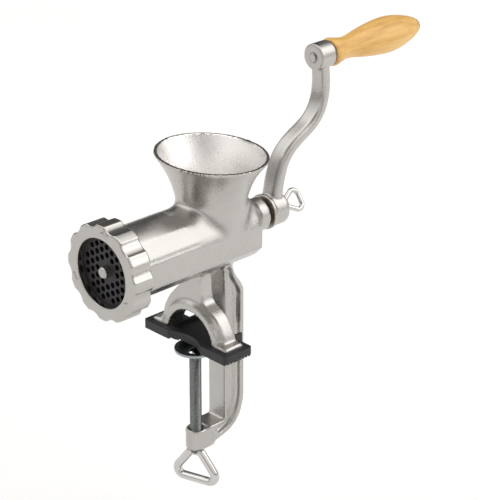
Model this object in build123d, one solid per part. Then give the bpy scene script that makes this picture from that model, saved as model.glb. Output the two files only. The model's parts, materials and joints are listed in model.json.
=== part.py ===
"""Hand crank meat grinder, size 8, with a table clamp.

Millimetres, +Z up. The origin is on the underside of the table pad, on the axis of the clamp
screw. The barrel lies along Y: the perforated plate faces -Y and the crank turns at +Y.
"""
from build123d import *
from math import cos, sin, pi, radians
import os

os.makedirs("parts", exist_ok=True)

# ---------------------------------------------------------------- driving dimensions
AXIS_Z = 89.3              # height of the barrel's axis above the table

# grinding head, a size 8 set
PLATE_DIA = 62.0
PLATE_THICK = 6.0
PLATE_HOLE_DIA = 4.5
PLATE_HOLE_PITCH = 6.5
PLATE_PLAIN_R = 8.6        # no holes nearer to the centre than this
PIN_DIA = 9.0              # auger's front pin, which carries the plate
STUD_SQUARE = 9.5          # square that drives the knife
POCKET_R = PLATE_DIA / 2 + 0.15
KNIFE_THICK = 4.8
KNIFE_R = PLATE_DIA / 2 - 4.0
KNIFE_HUB_R = 9.5
KEY_DIA = 3.0

# ring nut
RING_FRONT = -94.0
RING_LENGTH = 19.0
COLLAR_R = POCKET_R + 2.85 # threaded collar at the barrel's mouth
RING_OUTER_R = COLLAR_R + 4.8
RING_FLUTE_DEPTH = 2.3
RING_FLUTES = 12
RING_OPENING_R = PLATE_DIA / 2 - 3.5
RING_LIP = 6.5
THREAD_CLEARANCE = 0.08    # radial, between the collar and the ring nut
ARROW_R = (RING_OPENING_R + RING_OUTER_R) / 2 - 0.55   # middle of the raised arrows
ARROW_RAISE = 0.8
ARROW_ANGLES = (81, 204, 327)

# barrel and its facets, measured from the barrel's axis
BORE_R = PLATE_DIA / 2 - 6.0
BARREL_R = BORE_R + 3.5
PANEL_APOTHEM = BARREL_R - 1.0
PANEL_ANGLE = 37.3         # degrees above the horizontal
PANEL_HALF = 7.5
SIDE_X = BARREL_R - 0.5
SIDE_TOP = 7.2
SIDE_BOTTOM = -13.0
KEEL_X = SIDE_X - 3.7
KEEL_Z = -17.0
BELLY_Z = 0.3 - BARREL_R
BARREL_REAR = 47.4         # where the facets end
BOSS_FRONT = 61.0
BOSS_REAR = 70.5

# hopper
HOPPER_Y = 18.7
HOPPER_WALL = 3.0
HOPPER_RIM_Z = AXIS_Z + 65.1
HOPPER_RIM_A = 49.8        # half length along X
HOPPER_RIM_B = 41.1        # half length along Y
NECK_R = BARREL_R - 0.9
# share of the height above the barrel's axis, and share of the flare reached there
HOPPER_FLARE = ((0.25, 0.0), (0.45, 0.025), (0.62, 0.2), (0.8, 0.5), (0.93, 0.82), (1.0, 1.0))

# crank
SHANK_R = 9.0
SHANK_SQUARE = SHANK_R * 4 / 3
BUSH_R = SHANK_R + 2.6
BOSS_R = BUSH_R + 2.0      # rear bearing boss of the body
HUB_FRONT = 74.0
HUB_REAR = 92.6
HUB_R = BOSS_R
HUB_FLANGE_R = HUB_R + 1.0
HUB_FLANGE = 3.0
CRANK_RADIUS = 116.2       # from the barrel's axis up to the grip's axis
EYE_FRONT = 129.1
EYE_LENGTH = 16.0
EYE_R = 10.9
ARM_WIDTH_TOP = 15.6
ARM_WIDTH_FOOT = 17.2
ARM_THICK_TOP = 8.6
ARM_THICK_FOOT = 10.8

# grip
SPINDLE_R = 3.5
GRIP_LENGTH = 100.0
GRIP_NECK_R = 9.0
GRIP_FLARE_R = 11.4
GRIP_BELLY_R = 14.8
GRIP_END_R = 7.2
GRIP_CAP_R = 6.0

# thumb screw
THUMB_R = 4.0
THUMB_WIRE_R = 2.1
THUMB_LOOP_LONG = 15.5
THUMB_LOOP_HALF = 12.0     # where its corners would meet if they were sharp
THUMB_TILT = 35.0

# clamp
CLAMP_SCREW_R = 4.9
DISC_R = 16.5
DISC_RIM_Z = -4.6
DISC_DEPTH = 3.6
DISC_THICK = 1.6
LOOP_WIRE_R = 3.6
LOOP_HALF = 23.4           # where its corners would meet if they were sharp
LOOP_TOP_Z = -99.0
LOOP_BAR_Z = -124.4
LOOP_TURN = 17.0
CLAMP_BOSS_TOP = -77.0
CLAMP_BOSS_BOTTOM = -95.1
CLAMP_BOSS_R = CLAMP_SCREW_R + 3.5
CLAMP_BOSS_LONG = 10.0

# spine, the back of the C-shaped clamp frame
SPINE_FRONT = 23.4
SPINE_REAR = 44.4
SPINE_HALF = 10.0
SPINE_RECESS = 4.5
FLANGE_REAR = 4.3
FLANGE_FRONT = 2.6

# wishbone stand and its feet
STAND_FRONT = -6.0
STAND_REAR = 11.0
ARCH_HALF = 25.0
ARCH_TOP = 27.8
WEB_TOP = AXIS_Z + BELLY_Z + 2.9   # the web runs up into the barrel
STRIP_WIDTH = 7.0
STRIP_RAISE = 4.0
FOOT_TOP = 10.3
FOOT_OUT = 42.5
FOOT_IN = 25.0
FOOT_FRONT = -7.0
FOOT_REAR = 12.0

# table pad
PAD_HALF = 47.5
PAD_FRONT = -12.0
PAD_REAR = 17.0
PAD_THICK = 7.3
PAD_TAIL_HALF = 25.0
PAD_TAIL_REAR = 27.5
PAD_SEAT_DEPTH = 2.0
PAD_FLOOR = 3.2
PAD_NOTCH_HALF = 19.0
PAD_NOTCH_DEPTH = 6.0
PAD_RIB_PITCH = 3.2
PAD_GROOVE_WIDE = 1.6
PAD_GROOVE_DEEP = 1.3

# fits
RUNNING = 0.05             # radial clearance of a running fit
PARTING = 0.3              # gap between faces of pieces that move on each other
SEATED = 0.02              # gap round a piece that is fixed in its seat

# ---------------------------------------------------------------- places that follow from them
RING_REAR = RING_FRONT + RING_LENGTH
PLATE_FRONT = RING_FRONT + RING_LIP
PLATE_REAR = PLATE_FRONT + PLATE_THICK
KNIFE_FRONT = PLATE_REAR + PARTING
KNIFE_REAR = KNIFE_FRONT + KNIFE_THICK
POCKET_FLOOR = KNIFE_REAR + PARTING
COLLAR_FRONT = PLATE_FRONT + 2.5
COLLAR_REAR = POCKET_FLOOR + 2.2
PIN_FRONT = PLATE_FRONT - 5.5
AUGER_FRONT = KNIFE_REAR
CHAMBER_REAR = BARREL_REAR - 3.0
WASHER_THICK = 1.5
AUGER_REAR = CHAMBER_REAR - PARTING - WASHER_THICK
FLIGHT_R = BORE_R - 0.4
SHANK_END = HUB_REAR - 3.0
GRIP_Z = AXIS_Z + CRANK_RADIUS
EYE_REAR = EYE_FRONT + EYE_LENGTH
GRIP_FRONT = EYE_REAR + 1.0 + PARTING
GRIP_REAR = GRIP_FRONT + GRIP_LENGTH
FOOT_BOTTOM = PAD_THICK - PAD_SEAT_DEPTH


# ---------------------------------------------------------------- helpers
def cross_plane(y, z=AXIS_Z):
    """Plane across the barrel at y: its x is +X, its y is +Z, and it looks towards -Y."""
    return Plane(origin=(0, y, z), x_dir=(1, 0, 0), z_dir=(0, -1, 0))


def rod_y(radius, y0, y1, z=AXIS_Z, x=0.0):
    """A round bar along Y, from y0 to y1."""
    middle = Location((x, (y0 + y1) / 2, z), (90, 0, 0))
    return middle * Cylinder(radius, y1 - y0)


def rod_z(radius, z0, z1, x=0.0, y=0.0):
    """A round bar along Z, from z0 to z1."""
    return Location((x, y, (z0 + z1) / 2)) * Cylinder(radius, z1 - z0)


def block(x0, x1, y0, y1, z0, z1):
    """A box between two corners."""
    centre = Location(((x0 + x1) / 2, (y0 + y1) / 2, (z0 + z1) / 2))
    return centre * Box(x1 - x0, y1 - y0, z1 - z0)


def extrude_between(face, y0, y1):
    """Extrude a face that lies on a cross plane at y1 forwards, to y0."""
    return extrude(face, amount=y1 - y0)


def keep(part, name):
    """Write one node."""
    part.label = name
    export_step(part, os.path.join("parts", name + ".step"))
    return part


# ---------------------------------------------------------------- body casting
def barrel_face(y):
    """The barrel's outside, across its axis."""
    angle = radians(PANEL_ANGLE)
    mid_x = PANEL_APOTHEM * cos(angle)
    mid_z = PANEL_APOTHEM * sin(angle)
    top = (mid_x - PANEL_HALF * sin(angle), mid_z + PANEL_HALF * cos(angle))
    low = (mid_x + PANEL_HALF * sin(angle), mid_z - PANEL_HALF * cos(angle))
    ledge = (low[0], SIDE_TOP + 1.4)
    with BuildSketch(cross_plane(y)) as sketch:
        with BuildLine():
            ThreePointArc((-top[0], top[1]), (0, BARREL_R), top)
            for side in (1, -1):
                Polyline(
                    (side * top[0], top[1]),
                    (side * low[0], low[1]),
                    (side * ledge[0], ledge[1]),
                    (side * SIDE_X, SIDE_TOP),
                    (side * SIDE_X, SIDE_BOTTOM),
                    (side * KEEL_X, KEEL_Z),
                )
            ThreePointArc((-KEEL_X, KEEL_Z), (0, BELLY_Z), (KEEL_X, KEEL_Z))
        make_face()
    return sketch.sketch


def oval(z, half_x, half_y):
    """A level ellipse round the hopper's axis."""
    return Plane(origin=(0, HOPPER_Y, z)) * Ellipse(half_x, half_y)


def hopper_levels():
    """Outside of the hopper: height, half length along X, half length along Y."""
    rim = HOPPER_RIM_Z
    drop = rim - AXIS_Z
    flare_a = HOPPER_RIM_A - NECK_R
    flare_b = HOPPER_RIM_B - NECK_R
    levels = []
    for share, spread in HOPPER_FLARE:
        levels.append((AXIS_Z + share * drop, NECK_R + spread * flare_a, NECK_R + spread * flare_b))
    return levels


def hopper_solid(inset, extra_top=0.0, floor=0.0):
    """The hopper's outside, or its inside when inset is the wall."""
    sections = []
    levels = hopper_levels()
    for z, half_x, half_y in levels:
        sections.append(oval(z, half_x - inset, half_y - inset))
    body = loft(sections)
    low_z, low_x, low_y = levels[0]
    if floor < low_z:
        root = Plane(origin=(0, HOPPER_Y, floor)) * Ellipse(low_x - inset, low_y - inset)
        body = body + extrude(root, amount=low_z - floor)
    if extra_top:
        high_z, high_x, high_y = levels[-1]
        lid = Plane(origin=(0, HOPPER_Y, high_z)) * Ellipse(high_x - inset, high_y - inset)
        body = body + extrude(lid, amount=extra_top)
    return body


def spine_outline():
    """Side view of the spine and the arm to the clamp boss, as a face on the YZ plane."""
    front = SPINE_FRONT
    rear = SPINE_REAR
    foot_z = CLAMP_BOSS_TOP + 1.5
    top_z = AXIS_Z - 17.3
    with BuildSketch(Plane.YZ) as sketch:
        with BuildLine():
            Polyline((6, foot_z), (front, foot_z), (front, top_z), (rear - 8.0, top_z),
                     (rear - 8.0, top_z - 8))
            Spline((rear - 8.0, top_z - 8), (rear - 11.0, top_z - 16), (rear - 7.4, top_z - 24),
                   (rear - 1.6, top_z - 32.5), (rear, 32))
            Line((rear, 32), (rear, -58))
            Spline((rear, -58), (rear - 2.2, -70), (rear - 7.5, -80), (rear - 16.5, -86.5), (16, -90),
                   (6, -92.5))
            Line((6, -92.5), (6, foot_z))
        make_face()
    return sketch.sketch


def spine_pocket():
    """Side view of the recess between the spine's two flanges."""
    front = SPINE_FRONT + FLANGE_FRONT
    rear = SPINE_REAR - FLANGE_REAR
    top_z = AXIS_Z - 31.3
    with BuildSketch(Plane.YZ) as sketch:
        with BuildLine():
            Polyline((front, -76), (front, top_z), (rear - 8.2, top_z))
            Spline((rear - 8.2, top_z), (rear - 8.2, top_z - 7), (rear - 4.5, top_z - 15),
                   (rear - 0.6, top_z - 22), (rear, 30))
            Line((rear, 30), (rear, -58))
            Spline((rear, -58), (rear - 2.6, -69), (rear - 7, -77), (rear - 13, -81.5), (17, -85.5))
            Polyline((17, -85.5), (13.5, -80), (front, -76))
        make_face()
    return sketch.sketch


def arch_curve(half, top, foot):
    """Points of one arch, from the left foot over the top to the right foot."""
    rise = top - foot
    right = [(half, foot), (0.955 * half, foot + 0.28 * rise), (0.83 * half, foot + 0.55 * rise)]
    right += [(0.64 * half, foot + 0.77 * rise), (0.4 * half, foot + 0.92 * rise)]
    left = [(-x, z) for x, z in right]
    return left + [(0, top)] + right[::-1]


def stand_face(y):
    """The wishbone in front view, up into the barrel, with its arch left in."""
    low = FOOT_TOP - 2
    right = [(35.6, low), (35.0, 13), (31.8, 20), (26.2, 27.5), (18.0, 33), (11.5, 37), (9.4, 42.5),
             (9.4, WEB_TOP)]
    left = [(-36.4, low), (-36.2, 15), (-34.4, 21.5), (-31.2, 28), (-26.6, 34.5), (-20.0, 41.5), (-15.5, 47),
            (-14.0, WEB_TOP)]
    with BuildSketch(cross_plane(y, 0)) as sketch:
        with BuildLine():
            Spline(*right)
            Line(right[-1], left[-1])
            Spline(*left)
            Line(left[0], right[0])
        make_face()
    return sketch.sketch


def arch_face(y, grow=0.0):
    """The opening between the legs in front view."""
    points = arch_curve(ARCH_HALF + grow, ARCH_TOP + grow, FOOT_BOTTOM - 1)
    with BuildSketch(cross_plane(y, 0)) as sketch:
        with BuildLine():
            Spline(*points)
            Line(points[-1], points[0])
        make_face()
    return sketch.sketch


def make_stand():
    """Wishbone legs, raised strip round the arch, and the two foot plates."""
    plate_front = STAND_FRONT + STRIP_RAISE
    stand = extrude_between(stand_face(STAND_REAR), plate_front, STAND_REAR)
    strip = extrude_between(arch_face(plate_front + 0.5, STRIP_WIDTH), STAND_FRONT, plate_front + 0.5)
    strip = strip & block(-60, 60, STAND_FRONT - 1, STAND_REAR, FOOT_TOP - 2, 70)
    stand = stand + strip
    stand = stand - extrude_between(arch_face(STAND_REAR + 1), STAND_FRONT - 1, STAND_REAR + 1)
    for side in (1, -1):
        inner = side * FOOT_IN
        outer = side * FOOT_OUT
        foot = block(min(inner, outer), max(inner, outer), FOOT_FRONT, FOOT_REAR, FOOT_BOTTOM, FOOT_TOP)
        foot = chamfer(foot.faces().sort_by(Axis.Z)[-1].edges(), 1.2)
        stand = stand + foot
    return stand


def make_body():
    """The one-piece aluminium casting."""
    barrel = extrude_between(barrel_face(BARREL_REAR), COLLAR_REAR - 1.0, BARREL_REAR)
    collar = rod_y(COLLAR_R, COLLAR_FRONT, COLLAR_REAR)
    dome_big = cross_plane(BARREL_REAR) * Circle(SIDE_X - 2.0)
    dome_small = cross_plane(BOSS_FRONT) * Circle(BOSS_R)
    dome = loft([dome_big, dome_small])
    boss = rod_y(BOSS_R, BOSS_FRONT - 1.0, BOSS_REAR)
    body = barrel + collar + dome + boss
    body = body + hopper_solid(0.0, floor=AXIS_Z)
    spine = extrude(spine_outline(), amount=SPINE_HALF, both=True)
    spine_cut = extrude(spine_pocket(), amount=SPINE_RECESS)
    for shift in (SPINE_HALF - SPINE_RECESS, -SPINE_HALF):
        spine = spine - Location((shift, 0, 0)) * spine_cut
    clamp_boss = rod_z(CLAMP_BOSS_R, CLAMP_BOSS_BOTTOM, CLAMP_BOSS_TOP)
    clamp_boss += rod_z(CLAMP_BOSS_R, CLAMP_BOSS_BOTTOM, CLAMP_BOSS_TOP, y=CLAMP_BOSS_LONG)
    clamp_boss += block(-CLAMP_BOSS_R, CLAMP_BOSS_R, 0, CLAMP_BOSS_LONG, CLAMP_BOSS_BOTTOM, CLAMP_BOSS_TOP)
    body = body + spine + clamp_boss + make_stand()
    # hollows
    body = body - rod_y(BORE_R, COLLAR_FRONT - 1, CHAMBER_REAR)
    body = body - rod_y(POCKET_R, COLLAR_FRONT - 1, POCKET_FLOOR)
    body = body - rod_y(BUSH_R + SEATED, CHAMBER_REAR - 1, BOSS_REAR + 1)
    body = body - hopper_solid(HOPPER_WALL, extra_top=2.0, floor=AXIS_Z)
    body = body - rod_z(CLAMP_SCREW_R + RUNNING, CLAMP_BOSS_BOTTOM - 1, CLAMP_BOSS_TOP + 1)
    key_z = AXIS_Z - POCKET_R
    body = body - rod_y(KEY_DIA / 2 + SEATED, COLLAR_FRONT - 1, POCKET_FLOOR, z=key_z)
    return body


# ---------------------------------------------------------------- table pad
def make_pad():
    """Ribbed plastic pad under the feet, reaching back round the spine."""
    pad = block(-PAD_HALF, PAD_HALF, PAD_FRONT, PAD_REAR, 0, PAD_THICK)
    pad += block(-PAD_TAIL_HALF, PAD_TAIL_HALF, PAD_REAR - 1, PAD_TAIL_REAR, 0, PAD_THICK)
    upright = [edge for edge in pad.edges().filter_by(Axis.Z) if abs(edge.center().X) > PAD_TAIL_HALF + 1]
    pad = fillet(upright, 2.6)
    notch_r = (PAD_NOTCH_HALF ** 2 + PAD_NOTCH_DEPTH ** 2) / (2 * PAD_NOTCH_DEPTH)
    notch_y = PAD_FRONT + PAD_NOTCH_DEPTH - notch_r
    pad -= rod_z(notch_r, -1, PAD_THICK + 1, y=notch_y)
    floor_front = PAD_FRONT + PAD_NOTCH_DEPTH + 2.5
    pad -= block(-FOOT_IN + 2, FOOT_IN - 2, floor_front, PAD_TAIL_REAR + 1, PAD_FLOOR, PAD_THICK + 1)
    for side in (1, -1):
        inner = side * (FOOT_IN - SEATED)
        outer = side * (FOOT_OUT + SEATED)
        pad -= block(min(inner, outer), max(inner, outer), FOOT_FRONT - SEATED, FOOT_REAR + SEATED,
                     FOOT_BOTTOM, PAD_THICK + 1)
    slot_half = SPINE_HALF + 0.2
    pad -= block(-slot_half, slot_half, SPINE_FRONT - 0.1, PAD_TAIL_REAR + 1, -1, PAD_THICK + 1)
    groove_count = int((PAD_TAIL_REAR - PAD_FRONT) / PAD_RIB_PITCH)
    for index in range(groove_count):
        y = PAD_FRONT + 1.2 + index * PAD_RIB_PITCH
        if abs(y) < 1.9:
            continue
        pad -= block(-PAD_HALF - 1, PAD_HALF + 1, y, y + PAD_GROOVE_WIDE, -1, PAD_GROOVE_DEEP)
    return pad


# ---------------------------------------------------------------- grinding head
def plate_hole_places():
    """Centres of the plate's holes: rows of a triangular grid, inside the rim."""
    row_step = PLATE_HOLE_PITCH * 3 ** 0.5 / 2
    limit = RING_OPENING_R - PLATE_HOLE_DIA / 2 + 0.4
    places = []
    for column in range(-5, 6):
        shift = PLATE_HOLE_PITCH / 2 if column % 2 else 0.0
        for row in range(-6, 7):
            x = column * row_step
            z = row * PLATE_HOLE_PITCH + shift
            if PLATE_PLAIN_R < (x * x + z * z) ** 0.5 < limit:
                places.append((x, z))
    return places


def make_plate():
    """Perforated plate, keyed at the bottom."""
    plate = rod_y(PLATE_DIA / 2, PLATE_FRONT, PLATE_REAR)
    plate -= rod_y(PIN_DIA / 2 + RUNNING, PLATE_FRONT - 1, PLATE_REAR + 1)
    with BuildSketch(cross_plane(PLATE_REAR + 1)) as sketch:
        with Locations(*plate_hole_places()):
            Circle(PLATE_HOLE_DIA / 2)
    plate -= extrude(sketch.sketch, amount=PLATE_THICK + 2)
    key_z = AXIS_Z - POCKET_R
    plate -= rod_y(KEY_DIA / 2 + PARTING, PLATE_FRONT - 1, PLATE_REAR + 1, z=key_z)
    return plate


def make_key_pin():
    """Small pin in the collar wall that stops the plate from turning."""
    return rod_y(KEY_DIA / 2, COLLAR_FRONT + 0.4, POCKET_FLOOR - 0.05, z=AXIS_Z - POCKET_R)


def arrow_mark(angle):
    """A short raised arrow on the ring's face, which shows the way to loosen it."""
    half = 1.0
    reach = 4.2
    with BuildSketch(cross_plane(RING_FRONT)) as sketch:
        with BuildLine():
            Polyline((ARROW_R - half, -reach), (ARROW_R + half, -reach), (ARROW_R + half, 1.2),
                     (ARROW_R + 2.3, 1.2), (ARROW_R, reach), (ARROW_R - 2.3, 1.2),
                     (ARROW_R - half, 1.2), (ARROW_R - half, -reach))
        make_face()
    mark = extrude(sketch.sketch, amount=ARROW_RAISE)
    return mark.rotate(Axis((0, 0, AXIS_Z), (0, -1, 0)), angle)


def make_ring():
    """Fluted ring nut with three raised arrow marks on its face."""
    ring = rod_y(RING_OUTER_R, RING_FRONT, RING_REAR)
    step = 2 * pi / RING_FLUTES
    flute_r = 11.0
    flute_centre = RING_OUTER_R - RING_FLUTE_DEPTH + flute_r
    for index in range(RING_FLUTES):
        angle = (index + 0.5) * step
        ring -= rod_y(flute_r, RING_FRONT - 1, RING_REAR + 1,
                      z=AXIS_Z + flute_centre * sin(angle), x=flute_centre * cos(angle))
    ends = ring.faces().sort_by(Axis.Y)
    rims = ends[0].outer_wire().edges() + ends[-1].outer_wire().edges()
    ring = chamfer(rims, 0.7)
    ring -= rod_y(RING_OPENING_R, RING_FRONT - 1, RING_REAR)
    ring -= rod_y(COLLAR_R + THREAD_CLEARANCE, PLATE_FRONT, RING_REAR + 1)
    for angle in ARROW_ANGLES:
        ring += arrow_mark(angle)
    return ring


def make_knife():
    """Cross knife: four swept blades on a hub with a square hole."""
    knife = rod_y(KNIFE_HUB_R, KNIFE_FRONT, KNIFE_REAR)
    half_root = 4.2
    half_tip = 3.0
    for index in range(4):
        with BuildSketch(cross_plane(KNIFE_REAR)) as sketch:
            with BuildLine():
                Polyline((0, -half_root), (KNIFE_R - 1, -half_tip), (KNIFE_R, half_tip * 1.4),
                         (KNIFE_HUB_R, half_root), (0, half_root), (0, -half_root))
            make_face()
        blade = extrude_between(sketch.sketch, KNIFE_FRONT, KNIFE_REAR)
        knife += blade.rotate(Axis((0, 0, AXIS_Z), (0, 1, 0)), 90 * index)
    hole = STUD_SQUARE / 2 + SEATED
    knife -= block(-hole, hole, KNIFE_FRONT - 1, KNIFE_REAR + 1, AXIS_Z - hole, AXIS_Z + hole)
    return knife


def make_auger_stud():
    """Steel stud in the auger's nose: a square for the knife and a round pin for the plate."""
    half = STUD_SQUARE / 2
    stud = block(-half, half, KNIFE_FRONT, AUGER_FRONT + 12, AXIS_Z - half, AXIS_Z + half)
    pin = rod_y(PIN_DIA / 2, PIN_FRONT, KNIFE_FRONT + 0.5)
    pin = chamfer(pin.faces().sort_by(Axis.Y)[0].edges(), 0.8)
    return stud + pin


def make_auger():
    """Feed screw: a tapered core with one flight, a bearing shank and a square for the crank."""
    core_front = 9.5
    core_rear = 13.0
    length = AUGER_REAR - AUGER_FRONT
    lower = cross_plane(AUGER_REAR) * Circle(core_rear)
    upper = cross_plane(AUGER_FRONT) * Circle(core_front)
    core = loft([lower, upper])
    pitch = 27.0
    flight_length = length - 10.0
    helix = Helix(pitch=pitch, height=flight_length, radius=16.0)
    start = Location((0, AUGER_REAR - 5.0, AXIS_Z), (90, 0, 0))
    inner = 7.0
    outer = FLIGHT_R
    profile_plane = Plane(origin=(0, 0, 0), x_dir=(1, 0, 0), z_dir=(0, -1, 0))
    with BuildSketch(profile_plane) as sketch:
        with BuildLine():
            Polyline((inner, -3.2), (outer, -1.4), (outer, 1.4), (inner, 3.2), (inner, -3.2))
        make_face()
    flight = sweep(sketch.sketch, path=helix, is_frenet=True)
    auger = core + start * flight
    auger += rod_y(16.0, AUGER_REAR - 4.0, AUGER_REAR)
    auger += rod_y(SHANK_R, AUGER_REAR - 1, BOSS_REAR + 1.2)
    half = SHANK_SQUARE / 2
    square = block(-half, half, BOSS_REAR, SHANK_END, AXIS_Z - half, AXIS_Z + half)
    auger += square & rod_y(SHANK_R - 0.6, BOSS_REAR, SHANK_END)
    auger -= rod_y(THUMB_R + RUNNING, SHANK_END - 24, SHANK_END + 1)
    socket = STUD_SQUARE / 2 + SEATED
    auger -= block(-socket, socket, AUGER_FRONT - 1, AUGER_FRONT + 12 + SEATED,
                   AXIS_Z - socket, AXIS_Z + socket)
    return auger


def make_thrust_washer():
    """Fibre washer behind the auger's shoulder."""
    washer = rod_y(16.5, AUGER_REAR, AUGER_REAR + WASHER_THICK)
    return washer - rod_y(SHANK_R + RUNNING, AUGER_REAR - 1, AUGER_REAR + WASHER_THICK + 1)


def make_rear_bush():
    """Bronze bush in the rear bearing boss."""
    bush = rod_y(BUSH_R, CHAMBER_REAR, BOSS_REAR)
    return bush - rod_y(SHANK_R + RUNNING, CHAMBER_REAR - 1, BOSS_REAR + 1)


# ---------------------------------------------------------------- crank
def arm_points():
    """Centre line of the arm in the YZ plane, from the hub up to the eye."""
    rise = CRANK_RADIUS
    run = EYE_FRONT + EYE_LENGTH / 2 - HUB_FRONT
    shape = ((0.155, 0.03), (0.185, 0.15), (0.235, 0.26), (0.32, 0.36), (0.45, 0.43), (0.62, 0.485),
             (0.81, 0.545), (0.93, 0.615), (0.995, 0.70), (1.02, 0.80), (1.01, 0.90), (1.0, 0.97))
    return [(0, HUB_FRONT + share_y * run, AXIS_Z + share_z * rise) for share_y, share_z in shape]


def rounded_section(place, width, thick):
    """A rounded rectangle across the arm."""
    return place * RectangleRounded(width, thick, min(width, thick) * 0.42)


def make_crank():
    """S-shaped crank arm with its hub and its eye."""
    path = Spline(*arm_points())
    sections = []
    for share, blend in ((0.0, 0.0), (0.5, 0.5), (1.0, 1.0)):
        origin = path @ share
        along = path % share
        plane = Plane(origin=origin, x_dir=(1, 0, 0), z_dir=along)
        width = ARM_WIDTH_FOOT + (ARM_WIDTH_TOP - ARM_WIDTH_FOOT) * blend
        thick = ARM_THICK_FOOT + (ARM_THICK_TOP - ARM_THICK_FOOT) * blend
        sections.append(rounded_section(plane, width, thick))
    arm = sweep(sections, path=path, multisection=True)
    hub = rod_y(HUB_R, HUB_FRONT, HUB_REAR)
    hub = fillet(hub.faces().sort_by(Axis.Y)[-1].edges(), 3.0)
    flange = rod_y(HUB_FLANGE_R, HUB_FRONT, HUB_FRONT + HUB_FLANGE)
    eye = rod_y(EYE_R, EYE_FRONT, EYE_REAR, z=GRIP_Z)
    eye = chamfer(eye.edges().filter_by(GeomType.CIRCLE), 0.6)
    crank = hub + flange + arm + eye
    hole = SHANK_SQUARE / 2 + 0.05
    seat = block(-hole, hole, HUB_FRONT - 1, SHANK_END + 0.5, AXIS_Z - hole, AXIS_Z + hole)
    crank -= seat & rod_y(SHANK_R - 0.55, HUB_FRONT - 1, SHANK_END + 0.5)
    crank -= rod_y(THUMB_R + 0.5, SHANK_END - 1, HUB_REAR + 1)
    crank -= rod_y(SPINDLE_R + SEATED, EYE_FRONT - 1, EYE_REAR + 1, z=GRIP_Z)
    return crank


def wire_loop(top, bar, top_half, bar_half, radius, corner):
    """Closed wire in the XZ plane: a short top bar, a wide lower bar, rounded corners."""
    corners = [(top_half, top), (bar_half, bar), (-bar_half, bar), (-top_half, top)]
    small = corner * 0.4
    with BuildLine(Plane.XZ) as outline:
        FilletPolyline(*corners, radius=[small, corner, corner, small], close=True)
    path = outline.wire()
    section = Plane(origin=path @ 0, z_dir=path % 0) * Circle(radius)
    return sweep(section, path=path)


def make_thumb_screw():
    """Thumb screw stem with its shoulder."""
    washer_rear = HUB_REAR + 0.1 + WASHER_THICK
    shoulder = rod_y(6.2, washer_rear + 0.1, washer_rear + 4.0)
    shoulder = chamfer(shoulder.faces().sort_by(Axis.Y)[-1].edges(), 1.0)
    stem = rod_y(THUMB_R, SHANK_END - 20, washer_rear + 0.5)
    return stem + shoulder


def make_thumb_loop():
    """Wire loop that turns the thumb screw."""
    shoulder_end = HUB_REAR + 0.1 + WASHER_THICK + 4.0
    near = shoulder_end + THUMB_WIRE_R + SEATED
    loop = wire_loop(-near, -near - THUMB_LOOP_LONG, 2.8, THUMB_LOOP_HALF, THUMB_WIRE_R, 5.0)
    loop = Location((0, 0, AXIS_Z)) * loop.rotate(Axis.X, 90)
    return loop.rotate(Axis((0, 0, AXIS_Z), (0, 1, 0)), -(90 + THUMB_TILT))


def make_crank_washer():
    """Washer under the thumb screw."""
    washer = rod_y(8.5, HUB_REAR + 0.1, HUB_REAR + 0.1 + WASHER_THICK)
    return washer - rod_y(THUMB_R + RUNNING, HUB_REAR - 1, HUB_REAR + 3)


# ---------------------------------------------------------------- grip
def make_grip():
    """Turned wooden grip."""
    length = GRIP_LENGTH
    profile = [(0.0, GRIP_FLARE_R - 1.2), (0.015, GRIP_FLARE_R), (0.05, GRIP_FLARE_R - 0.2),
               (0.16, GRIP_NECK_R),
               (0.33, GRIP_NECK_R + 2.2), (0.50, GRIP_BELLY_R - 1.1), (0.67, GRIP_BELLY_R),
               (0.84, GRIP_BELLY_R - 2.3), (0.95, GRIP_END_R + 2.0), (1.0, GRIP_END_R)]
    points = [(GRIP_FRONT + share * length, radius) for share, radius in profile]
    with BuildSketch(Plane.YZ) as sketch:
        with BuildLine():
            Spline(*points)
            Polyline(points[-1], (GRIP_REAR, 0), (GRIP_FRONT, 0), points[0])
        make_face()
    body = revolve(sketch.sketch, Axis.Y)
    body = Location((0, 0, GRIP_Z)) * body
    return body - rod_y(SPINDLE_R + RUNNING, GRIP_FRONT - 1, GRIP_REAR + 1, z=GRIP_Z)


def make_spindle():
    """Steel spindle through the grip, riveted over in the crank's eye."""
    spindle = rod_y(SPINDLE_R, EYE_FRONT + 0.2, GRIP_REAR + 1.5, z=GRIP_Z)
    head = rod_y(SPINDLE_R - 0.8, EYE_FRONT - 0.9, EYE_FRONT + 1, z=GRIP_Z)
    return spindle + head


def make_grip_cap():
    """Domed cap on the spindle's end, which keeps the grip on."""
    cap = rod_y(GRIP_CAP_R, GRIP_REAR + PARTING, GRIP_REAR + PARTING + 3.2, z=GRIP_Z)
    cap = fillet(cap.faces().sort_by(Axis.Y)[-1].edges(), 2.2)
    return cap - rod_y(SPINDLE_R + SEATED, GRIP_REAR, GRIP_REAR + 1.5 + SEATED, z=GRIP_Z)


def make_grip_washer():
    """Thin washer between the eye and the grip."""
    washer = rod_y(EYE_R - 1.4, EYE_REAR, EYE_REAR + 1.0, z=GRIP_Z)
    return washer - rod_y(SPINDLE_R + SEATED, EYE_REAR - 1, EYE_REAR + 2, z=GRIP_Z)


# ---------------------------------------------------------------- clamp
def make_clamp_screw():
    """Clamp screw: threaded length, and a thinner neck that the disc turns on."""
    neck_z = DISC_RIM_Z - DISC_DEPTH - DISC_THICK - PARTING
    screw = rod_z(CLAMP_SCREW_R, LOOP_TOP_Z, neck_z) - make_clamp_loop()
    screw += rod_z(3.0, neck_z - 0.5, neck_z + DISC_THICK + 2 * PARTING)
    return screw - rod_z(1.5 + SEATED, neck_z - 6.0, 0)


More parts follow.
